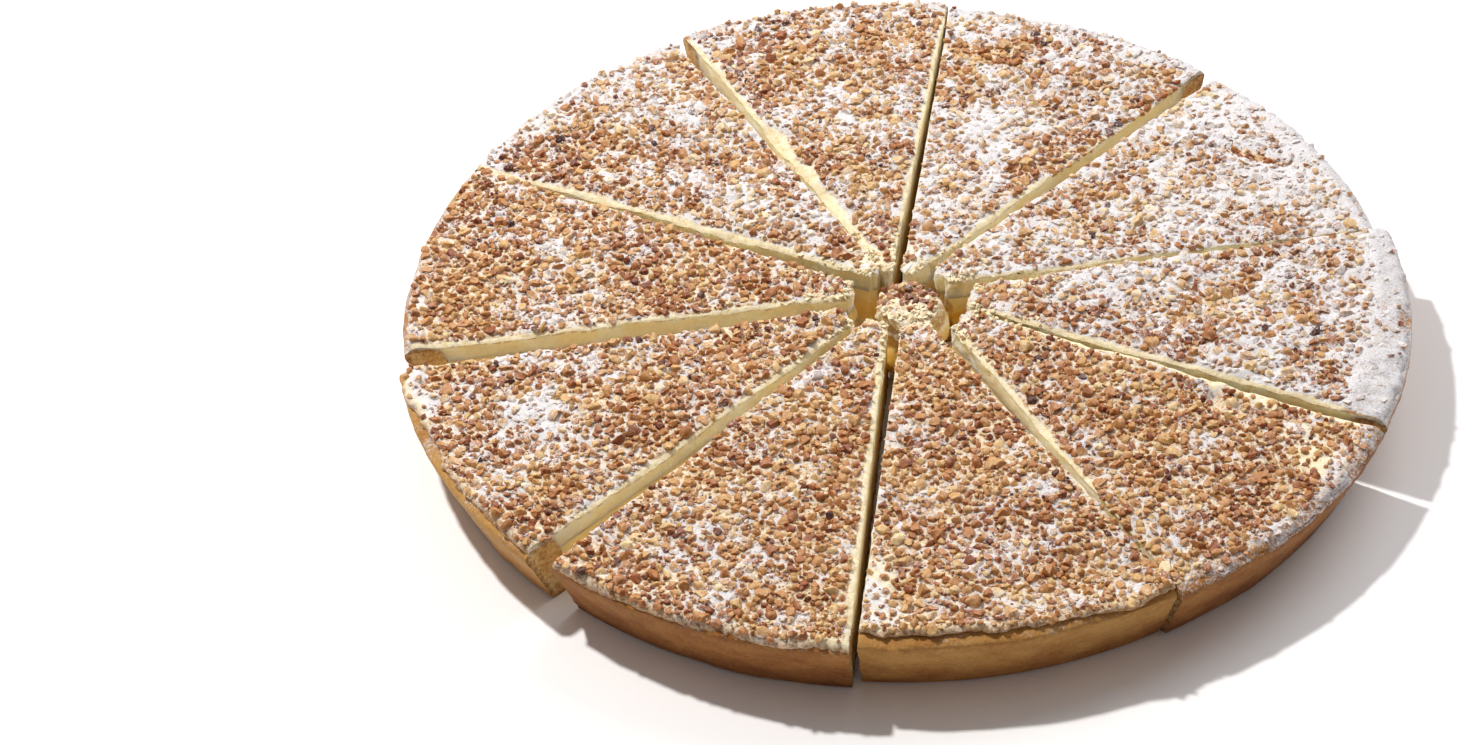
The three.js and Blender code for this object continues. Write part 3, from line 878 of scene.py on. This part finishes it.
def cream_of(piece):
    flat_steps = round(CREAM_ALONG * CREAM_RAMP)
    us = np.linspace(0, 1, CREAM_ALONG + 1)
    vs = np.linspace(-1, 1, CREAM_ACROSS + 1)
    vs = vs * (1.5 - 0.5 * vs ** 2)  # finer towards the cuts
    ws = np.linspace(0, 1, CREAM_UP + 1)
    grid, faces, sides = lattice_skin(us, vs, ws, plain_bottom=flat_steps - 2)
    along, across, up = grid.T
    y_guess = RADIUS * np.sin(HALF_ANGLE * across)
    edge = cream_edge(piece, y_guess)
    radius = along * edge
    low = np.interp(
        radius,
        [0, RIM_INSIDE - 1.5, RIM_INSIDE, RIM_INSIDE + 1.4, RIM_INSIDE + 3, RADIUS - 3.5, RADIUS - 0.5],
        CREAM_BOTTOM - SEAM + np.array([0, 0, 3.6, 4.8, 5.4, 5.4, 4.5]),
    )
    low = low + 1.6 * piece.lip * smooth_step(3.5, 1.2, edge - radius)
    flat = on_slice(piece, radius, across, 0 * radius, CRUST_CRUMBLE)
    x, y = flat[:, 0], flat[:, 1]
    high = cream_level(piece, x, y)
    beside = cut_distance(x, y)
    thinned = EDGE_THINNING - THICK_EDGE * min(1.0, 2 * piece.lip)
    strip = np.maximum(bare_edge(piece, x, y), 0)
    bevel = (0.5 + 0.5 * strip) * np.exp(-np.maximum(beside, 0) / (0.6 + 0.4 * strip))
    high = high - bevel - thinned * np.exp(-(edge - radius) / 0.9)
    high = high + 0.16 * rough(flat[:, :2], 1.7, 640 + piece.number, 2)
    high = np.maximum(high, low + 0.15)
    height = low + (high - low) * up
    points = on_slice(piece, radius, across, height, CREAM_CRUMBLE)
    at_cut = (np.abs(across) > 0.999) * smooth_step(-0.2, 0.5, up)
    near_top = smooth_step(0.45, 1.0, up)
    points = roughen_cuts(points, at_cut, depth=0.35, size=3.2, seed=660 + piece.number)
    points = roughen_cuts(points, at_cut * near_top, depth=0.55, size=9.0, seed=680 + piece.number)
    near_tip = smooth_step(42.0, 14.0, radius)
    points = roughen_cuts(points, at_cut * near_tip, depth=1.5, size=3.6, seed=685 + piece.number)
    at_edge = (along > 0.999) * (1 + up)
    ragged = 1 + at_edge * 0.35 * rough(points, 1.5, 690 + piece.number, 2) / RADIUS
    points[:, :2] *= ragged[:, None]
    bare = np.maximum(patch_share(BARE_PATCHES, piece, x, y), smooth_step(strip + 0.4, 0.4 * strip, beside))
    facts = {
        "dust": dust_at(piece, x, y) * up * smooth_step(0.4 * strip - 0.2, strip + 0.5, beside),
        "bare": bare,
        "under": (1 - up) * (high - low),
        "past_nuts": smooth_step(-1.5, 1.0, radius - topping_edge(piece, y)),
    }
    cut = np.isin(sides, (0, 2, 3, 4)).astype(int)
    name = f"cream_{piece.number:02d}"
    return mesh_object(name, in_frame(piece, points), faces, CREAM_FINISHES, cut, facts, crease=60)


# --- The lump of broken tips ------------------------------

def drum_of(name, finishes, bottom, top, radius, seed, dust=0.0):
    """A rough drum with a flat underside: rings up the side, and rings in to the middle of the top."""
    around, rings, inner = 48, 10, 8
    angle = np.linspace(0, 2 * math.pi, around, endpoint=False)
    heights = np.linspace(bottom, top, rings)
    levels = [(radius, height) for height in heights]
    levels += [(radius * (1 - (step + 1) / (inner + 1)), top) for step in range(inner)]
    points = []
    for ring_radius, height in levels:
        place = np.stack([6 * np.cos(angle), 6 * np.sin(angle), 0 * angle + height], axis=-1)
        bend = 2.6 * lumps(place, 6, seed) + 1.1 * rough(place, 2.2, seed + 1)
        reach = ring_radius + bend * ring_radius / radius
        ring = np.stack([reach * np.cos(angle), reach * np.sin(angle), 0 * angle + height], axis=-1)
        if height == top:
            ring[:, 2] += 1.1 * rough(ring[:, :2], 4, seed + 2) - 0.4 * (ring_radius / radius) ** 6
        points.append(ring)
    points.append(np.array([[0, 0, top]]))
    points = np.concatenate(points)
    points[:, :2] += MIDDLE_PLACE
    faces = [list(range(around))[::-1]]
    cut = [1]
    for level in range(len(levels) - 1):
        for step in range(around):
            following = (step + 1) % around
            low, high = level * around, (level + 1) * around
            faces.append([low + step, low + following, high + following, high + step])
            cut.append(1 if level < rings - 1 else 0)
    last, centre = (len(levels) - 1) * around, len(points) - 1
    for step in range(around):
        faces.append([last + step, last + (step + 1) % around, centre])
        cut.append(0)
    cut = np.array(cut) if len(finishes) > 1 else None
    everywhere = {"dust": dust, "depth": 3.0, "bake": 0.0}
    facts = {fact: np.full(len(points), value) for fact, value in everywhere.items()}
    facts["bare"] = smooth_step(-0.2, 0.5, lumps(points, 5, seed + 3))
    return mesh_object(name, points + SHIFT, faces, finishes, cut, facts, crease=50)


# --- Nuts, crumbs and sugar -------------------------------

NUT_TILT = 0.45           # in radians, at most
BARENESS = 0.92           # share of the nuts that the barest places lack


def round_shape(steps):
    """Points and triangles of a ball of radius 1/2."""
    ball = bmesh.new()
    bmesh.ops.create_icosphere(ball, subdivisions=steps, radius=0.5)
    points = np.array([vertex.co[:] for vertex in ball.verts])
    faces = np.array([[vertex.index for vertex in face.verts] for face in ball.faces])
    ball.free()
    return points, faces


def octahedron():
    points = 0.5 * np.array([[1, 0, 0], [-1, 0, 0], [0, 1, 0], [0, -1, 0], [0, 0, 1], [0, 0, -1]], float)
    faces = [[0, 2, 4], [2, 1, 4], [1, 3, 4], [3, 0, 4], [2, 0, 5], [1, 2, 5], [3, 1, 5], [0, 3, 5]]
    return points, np.array(faces)


def turned_about(points, axis, angle):
    """Each row of points turned about one of its own axes."""
    cosine, sine = np.cos(angle)[:, None], np.sin(angle)[:, None]
    first, second = [(1, 2), (2, 0), (0, 1)][axis]
    turned = points.copy()
    turned[..., first] = cosine * points[..., first] - sine * points[..., second]
    turned[..., second] = sine * points[..., first] + cosine * points[..., second]
    return turned


def scattered(name, shape, bits, finish, draw, flats):
    """One mesh of many small lumps. bits has place (n, 3), size (n, 3), and level, tone and dust (n)."""
    base, faces = shape
    count = len(bits["place"])
    spread = draw.normal(size=(count, 3, 3))
    wave = np.sin(3.1 * np.einsum("nij,vj->nvi", spread, 2 * base) + draw.uniform(0, 6.3, (count, 1, 3)))
    points = base[None] * (1 + 0.13 * wave.sum(axis=-1, keepdims=True))
    for _ in range(flats):
        facing = draw.normal(size=(count, 3))
        facing /= np.linalg.norm(facing, axis=1, keepdims=True)
        depth = draw.uniform(0.20, 0.40, (count, 1))
        beyond = np.maximum(np.einsum("nvj,nj->nv", points, facing) - depth, 0)
        points = points - beyond[..., None] * facing[:, None]
    points = points * bits["size"][:, None]
    points = turned_about(points, 0, draw.uniform(-NUT_TILT, NUT_TILT, count))
    points = turned_about(points, 1, draw.uniform(-NUT_TILT, NUT_TILT, count))
    points = turned_about(points, 2, draw.uniform(0, 2 * math.pi, count))
    points = points + bits["place"][:, None]
    rise = (points[..., 2] - bits["level"][:, None]).ravel()
    every = len(base)
    all_faces = (faces[None] + every * np.arange(count)[:, None, None]).reshape(-1, 3)
    facts = {fact: np.repeat(bits[fact], every) for fact in ("tone", "dust")}
    facts["rise"] = rise
    return mesh_object(name, points.reshape(-1, 3), all_faces, [finish], None, facts, crease=40)


class Bed:
    """Keeps count of what already lies on a slice, so that nuts find their own place."""

    CELL = 4.0

    def __init__(self):
        self.cells = {}

    def clear(self, x, y, radius, closeness):
        column, row = int(x // self.CELL), int(y // self.CELL)
        for c, r in itertools.product(range(column - 1, column + 2), range(row - 1, row + 2)):
            for other_x, other_y, other_radius in self.cells.get((c, r), ()):
                apart = closeness * (radius + other_radius)
                if (x - other_x) ** 2 + (y - other_y) ** 2 < apart * apart:
                    return False
        return True

    def lay(self, x, y, radius):
        key = (int(x // self.CELL), int(y // self.CELL))
        self.cells.setdefault(key, []).append((x, y, radius))


def places_on(piece, lengths, tries, draw):
    """Many places on a slice to choose from, as rows of x, y and whether a nut may lie there."""
    count = len(lengths) * tries
    reach = np.sqrt(draw.uniform((piece.tip + 0.8) ** 2, (RADIUS - 0.5) ** 2, count))
    angle = draw.uniform(-HALF_ANGLE, HALF_ANGLE, count)
    x, y = KNIFE_TIP + reach * np.cos(angle), reach * np.sin(angle)
    radius = np.hypot(x, y)
    strayed = (draw.random(count) < 0.75 * (1 - piece.rim_dust)) & (radius < cream_edge(piece, y) - 1.2)
    allowed = ((radius < topping_edge(piece, y) - 0.7) | strayed) & (scrape_depth(piece, x, y) < 0.3)
    allowed &= draw.random(count) > BARENESS * patch_share(BARE_PATCHES, piece, x, y)
    edge = topping_edge(piece, y)
    thinning = piece.rim_dust * smooth_step(edge - 9, edge + 1, radius) * (1 - strayed)
    thinning = np.maximum(thinning, 0.2 * smooth_step(0.5, 0.9, dust_at(piece, x, y)))
    allowed &= draw.random(count) > thinning
    return x, y, allowed, cut_distance(x, y) - bare_edge(piece, x, y)


def nut_places(piece, lengths, closeness, tries, bed, draw):
    """Places on one slice for nuts of those lengths, the largest first."""
    found = []
    xs, ys, allowed, beside = places_on(piece, lengths, tries, draw)
    for number, length in enumerate(lengths):
        half = 0.42 * length
        for place in range(number * tries, (number + 1) * tries):
            if not allowed[place] or beside[place] < 0.75 * half:
                continue
            x, y = xs[place], ys[place]
            if bed.clear(x, y, half, closeness):
                bed.lay(x, y, half)
                found.append((x, y, length))
                break
    return np.array(found)


def sizes_of(length, width, height, draw):
    """Length, width and height of bits, the last two as ranges of shares of the length."""
    count = len(length)
    sizes = [length, length * draw.uniform(*width, count), length * draw.uniform(*height, count)]
    return np.stack(sizes, axis=1)


def nut_bits(piece, found, draw, proud, tone, flat=(0.6, 0.9)):
    """Everything that scattered() needs for nuts at those places. proud is the share that stands out."""
    x, y, length = found.T
    count = len(found)
    size = sizes_of(length, (0.70, 1.0), flat, draw)
    level = cream_level(piece, x, y)
    near_edge = np.minimum(cut_distance(x, y), cream_edge(piece, y) - np.hypot(x, y))
    level = level - 0.6 * np.exp(-np.maximum(near_edge, 0))
    sunk = 0.5 * sugar_depth(piece, x, y)
    height = level - sunk + (draw.uniform(*proud, count) - 0.5) * size[:, 2]
    place = in_frame(piece, np.stack([x, y, height], axis=1))
    patch = 0.14 * lumps(plan(x, y), 12, 700 + piece.number)
    patch = patch - 0.10 * patch_share(TOASTED_PATCHES, piece, x, y)
    patch = patch + 0.12 * smooth_step(0.35, 0.7, dust_at(piece, x, y))
    shade = np.clip(draw.normal(*tone, count) + patch, 0.12, 1)
    dark = draw.random(count) < 0.008
    shade = np.where(dark, draw.uniform(0, 0.1, count), shade)
    dust = np.clip(dust_at(piece, x, y) * draw.uniform(0.6, 1.2, count), 0, 1)
    return {"place": place, "size": size, "level": level, "tone": shade, "dust": dust}


def joined(groups):
    return {fact: np.concatenate([group[fact] for group in groups]) for fact in groups[0]}


def lengths_between(low, high, count, draw, lean=1.0):
    """Lengths with more of the short ones, sorted with the longest first."""
    return np.sort(low + (high - low) * draw.random(count) ** lean)[::-1]


# For each kind of nut: shortest, longest and how many a slice; how much the short ones prevail; how close
# nuts may lie; how many places are tried; how proud they lie; and their tone with its spread.
NUTS = {
    "large": ((3.1, 4.7, 140), 1.8, 0.92, 14, (0.32, 0.60), (0.56, 0.12)),
    "middling": ((2.2, 3.1, 440), 1.0, 0.88, 16, (0.36, 0.78), (0.53, 0.14)),
    "small": ((1.5, 2.2, 640), 1.0, 0.79, 12, (0.35, 0.95), (0.50, 0.16)),
}
SUGAR_CLUMPS = (0.3, 0.75, 1800)
CREAM_CRUMBS = (0.7, 1.9, 90)
# Loose bits have lengths and how many a slice, how proud they lie, their tone with its spread, and flatness.
CHIPS = ((0.7, 1.4, 750), (0.4, 1.3), (0.44, 0.22), (0.6, 0.9))
CRUMBS = ((0.4, 0.8, 1100), (0.4, 1.9), (0.42, 0.22), (0.6, 0.9))
NUT_SKINS = ((1.0, 2.6, 14), (1.5, 3.5), (0.1, 0.1), (0.15, 0.3))


def nuts_for(piece, draw):
    bed = Bed()
    found = {}
    for kind, (span, lean, closeness, tries, _, _) in NUTS.items():
        lengths = lengths_between(*span, draw, lean)
        found[kind] = nut_places(piece, lengths, closeness, tries, bed, draw)
    return {kind: nut_bits(piece, places, draw, *NUTS[kind][-2:]) for kind, places in found.items()}


def loose_bits(piece, kind, draw):
    """Bits with no care for what already lies there."""
    span, proud, tone, flat = kind
    lengths = lengths_between(*span, draw)
    x, y, allowed, beside = places_on(piece, lengths, 1, draw)
    buried = draw.random(len(x)) < 0.35 * smooth_step(0.5, 0.9, dust_at(piece, x, y))
    found = np.stack([x, y, lengths], axis=1)[allowed & (beside > 0.25) & ~buried]
    return nut_bits(piece, found, draw, proud, tone, flat)


def cream_crumbs_for(piece, draw):
    """Crumbs of cream on the broken tip, most of them at its edges."""
    lengths = lengths_between(*CREAM_CRUMBS, draw, 1.5)
    count = len(lengths)
    reach = piece.tip + 0.3 + 22 * draw.random(count) ** 2.2
    angle = HALF_ANGLE * draw.choice([-1, 1], count) * draw.random(count) ** 0.4
    found = np.stack([KNIFE_TIP + reach * np.cos(angle), reach * np.sin(angle), lengths], axis=1)
    return nut_bits(piece, found, draw, (0.1, 0.9), (0.5, 0.1))


def sugar_for(piece, draw):
    lengths = lengths_between(*SUGAR_CLUMPS, draw)
    x, y, _, beside = places_on(piece, lengths, 1, draw)
    on_cream = (np.hypot(x, y) < cream_edge(piece, y) - 0.5) & (beside > 0.3)
    kept = on_cream & (draw.random(len(x)) < dust_at(piece, x, y) ** 1.5)
    return nut_bits(piece, np.stack([x, y, lengths], axis=1)[kept], draw, (0.4, 2.2), (0.5, 0.1))


# --- Making it all ----------------------------------------

def stand_for(piece, node):
    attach(piece, "root")
    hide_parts(node)


def make_layers():
    for piece in SLICES:
        node = f"slice{piece.number:02d}"
        stand_for(crust_of(piece), f"{node}_crust")
        stand_for(custard_of(piece), f"{node}_custard")
        stand_for(cream_of(piece), f"{node}_cream")


def make_middle():
    base = drum_of("middle_pastry", CRUST_FINISHES, 0.0, BASE_THICKNESS, MIDDLE_RADIUS - 0.6, 11)
    stand_for(base, "middle_crust")
    low, high = CUSTARD_BOTTOM - LAYER_GAP - SEAM, CUSTARD_TOP + SEAM
    filling = drum_of("middle_filling", CUSTARD_FINISHES, low, high, MIDDLE_RADIUS, 21)
    stand_for(filling, "middle_custard")
    low, high = CREAM_BOTTOM - SEAM, CREAM_TOP - NUT_ROOM
    top = drum_of("middle_top", CREAM_FINISHES, low, high, MIDDLE_RADIUS + 0.5, 31, 0.3)
    stand_for(top, "middle_cream")


def middle_bits(found, draw, tone, dust):
    """Everything that scattered() needs for bits on the lump of broken tips."""
    x, y, length = np.array(found).T
    count = len(x)
    size = sizes_of(length, (0.6, 0.9), (0.55, 0.8), draw)
    droop = 0.5 * (np.hypot(x, y) / MIDDLE_RADIUS) ** 6
    level = CREAM_TOP - NUT_ROOM - droop
    place = np.stack([x + MIDDLE_PLACE[0], y + MIDDLE_PLACE[1], level + 0.3 * size[:, 2]], axis=1) + SHIFT
    shade = np.clip(draw.normal(*tone, count), 0.05, 1)
    dust = np.full(count, dust)
    return {"place": place, "size": size, "level": level + SHIFT[2], "tone": shade, "dust": dust}


def middle_nuts(draw):
    """Nuts on the lump of broken tips, which has lost those at its front."""
    bed = Bed()
    found = []
    for length in lengths_between(1.0, 3.2, 110, draw, 1.6):
        for _ in range(12):
            reach = (MIDDLE_RADIUS - 0.4) * math.sqrt(draw.random())
            angle = draw.uniform(0, 2 * math.pi)
            x, y = reach * math.cos(angle), reach * math.sin(angle)
            if y > -1.5 - 0.25 * x + draw.normal(0, 1.6) and bed.clear(x, y, 0.42 * length, 0.78):
                bed.lay(x, y, 0.42 * length)
                found.append((x, y, length))
                break
    return middle_bits(found, draw, (0.34, 0.17), 0.45)


def middle_cream_crumbs(draw):
    """Crumbs of cream on the front and the edge of the lump."""
    lengths = lengths_between(0.8, 2.6, 110, draw, 1.5)
    reach = MIDDLE_RADIUS * draw.random(110) ** 0.35
    angle = draw.normal(-1.9, 1.1, 110)
    found = np.stack([reach * np.cos(angle), reach * np.sin(angle), lengths], axis=1)
    return middle_bits(found, draw, (0.5, 0.1), 0.0)


def make_topping():
    draw = np.random.default_rng(7)
    nuts = [nuts_for(piece, draw) for piece in SLICES]
    chips, crumbs, skins = (
        [loose_bits(piece, kind, draw) for piece in SLICES] for kind in (CHIPS, CRUMBS, NUT_SKINS)
    )
    sugar = [sugar_for(piece, draw) for piece in SLICES]
    cream = [cream_crumbs_for(piece, draw) for piece in SLICES] + [middle_cream_crumbs(draw)]
    kinds = [
        ("large_nuts", 2, [group["large"] for group in nuts] + [middle_nuts(draw)], NUT_FINISH, 4),
        ("middling_nuts", 2, [group["middling"] for group in nuts[:5]], NUT_FINISH, 4),
        ("middling_nuts_b", 2, [group["middling"] for group in nuts[5:]], NUT_FINISH, 4),
        ("small_nuts", 1, [group["small"] for group in nuts], NUT_FINISH, 3),
        ("nut_chips", 1, chips, NUT_FINISH, 2),
        ("nut_crumbs", 0, crumbs, NUT_FINISH, 0),
        ("nut_skins", 1, skins, SKIN_FINISH, 2),
        ("sugar_clumps", 0, sugar, SUGAR_FINISH, 0),
        ("cream_crumbs", 1, cream, CREAM_CRUMB_FINISH, 1),
    ]
    for name, steps, groups, finish, flats in kinds:
        shape = round_shape(steps) if steps else octahedron()
        piece = scattered(name, shape, joined(groups), finish, draw, flats)
        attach(piece, "root")


def rotation(axis, angle):
    return Matrix.Rotation(angle, 4, axis)


def make_camera():
    """Looks down on the middle of the rim, then turns so that the middle shows where the photo has it."""
    aside = math.atan((MIDDLE_PIXEL[0] - PHOTO_SIZE[0] / 2) / FOCAL_PIXELS)
    above = math.atan((PHOTO_SIZE[1] / 2 - MIDDLE_PIXEL[1]) / FOCAL_PIXELS * math.cos(aside))
    lens = bpy.data.cameras.new("camera")
    lens.sensor_fit = "HORIZONTAL"
    lens.sensor_width = SENSOR_WIDTH
    lens.lens = FOCAL_PIXELS / PHOTO_SIZE[0] * SENSOR_WIDTH
    lens.clip_start = 0.05
    camera = bpy.data.objects.new("camera", lens)
    middle = Matrix.Translation(Vector((SHIFT[0], SHIFT[1], RIM_PLANE)) * MM)
    away = Matrix.Translation((0, 0, CAMERA_DISTANCE * MM))
    looking = middle @ rotation("X", math.radians(90 - CAMERA_ELEVATION)) @ away
    roll = rotation("Z", -math.radians(CAMERA_ROLL))
    camera.matrix_world = looking @ rotation("X", -above) @ rotation("Y", aside) @ roll
    bpy.context.scene.collection.objects.link(camera)
    bpy.context.scene.camera = camera


KEY_PLACE = (-556.0, 352.0, 1090.0)   # found from the shadows
KEY_WIDTH = 80.0
KEY_POWER = 16.0
FILL_PLACE = (900.0, 1250.0, 1050.0)
FILL_WIDTH = 1500.0
FILL_POWER = 22.0
ROOM_LIGHT = 0.42
FRONT_OF_ROOM = (0.54, 0.47, 0.42, 1.0)   # dimmer and warmer than its back
BACK_OF_ROOM = (1.0, 1.0, 1.02, 1.0)
FLOOR_SIDE = 3000.0


def lamp_at(name, place, width, power, colour):
    lamp = bpy.data.lights.new(name, "AREA")
    lamp.shape = "DISK"
    lamp.size = width * MM
    lamp.energy = power
    lamp.color = colour
    lamp_object = bpy.data.objects.new(name, lamp)
    towards_tart = Vector(place).to_track_quat("Z", "Y").to_matrix().to_4x4()
    lamp_object.matrix_world = Matrix.Translation(Vector(place) * MM) @ towards_tart
    lamp_object.visible_camera = False
    bpy.context.scene.collection.objects.link(lamp_object)


def make_light():
    lamp_at("key_light", KEY_PLACE, KEY_WIDTH, KEY_POWER, (1.0, 0.985, 0.96))
    lamp_at("fill_light", FILL_PLACE, FILL_WIDTH, FILL_POWER, (0.97, 0.98, 1.0))
    world = bpy.data.worlds.new("studio")
    world.use_nodes = True
    room = Nodes(world.node_tree, "Background")
    direction = room.node("ShaderNodeTexCoord", output="Generated")
    backwards = room.node("ShaderNodeSeparateXYZ", None, {0: direction}, output="Y")
    room.feed("Color", room.blend(FRONT_OF_ROOM, BACK_OF_ROOM, backwards.between(-0.8, 0.5)))
    room.feed("Strength", ROOM_LIGHT)
    bpy.context.scene.world = world
    bpy.context.scene.view_settings.view_transform = "Standard"
    bpy.context.scene.view_settings.look = "None"


def make_floor():
    corners = [[x * FLOOR_SIDE, y * FLOOR_SIDE, -0.02] for x, y in ((-1, -1), (1, -1), (1, 1), (-1, 1))]
    finish = Finish("floor", Roughness=0.9, Specular_IOR_Level=0.1)
    finish.feed("Base Color", (0.90, 0.89, 0.89, 1.0))
    floor = mesh_object("floor", corners, [[0, 1, 2, 3]], [finish.material])


make_camera()
make_floor()
make_light()
make_layers()
make_middle()
make_topping()
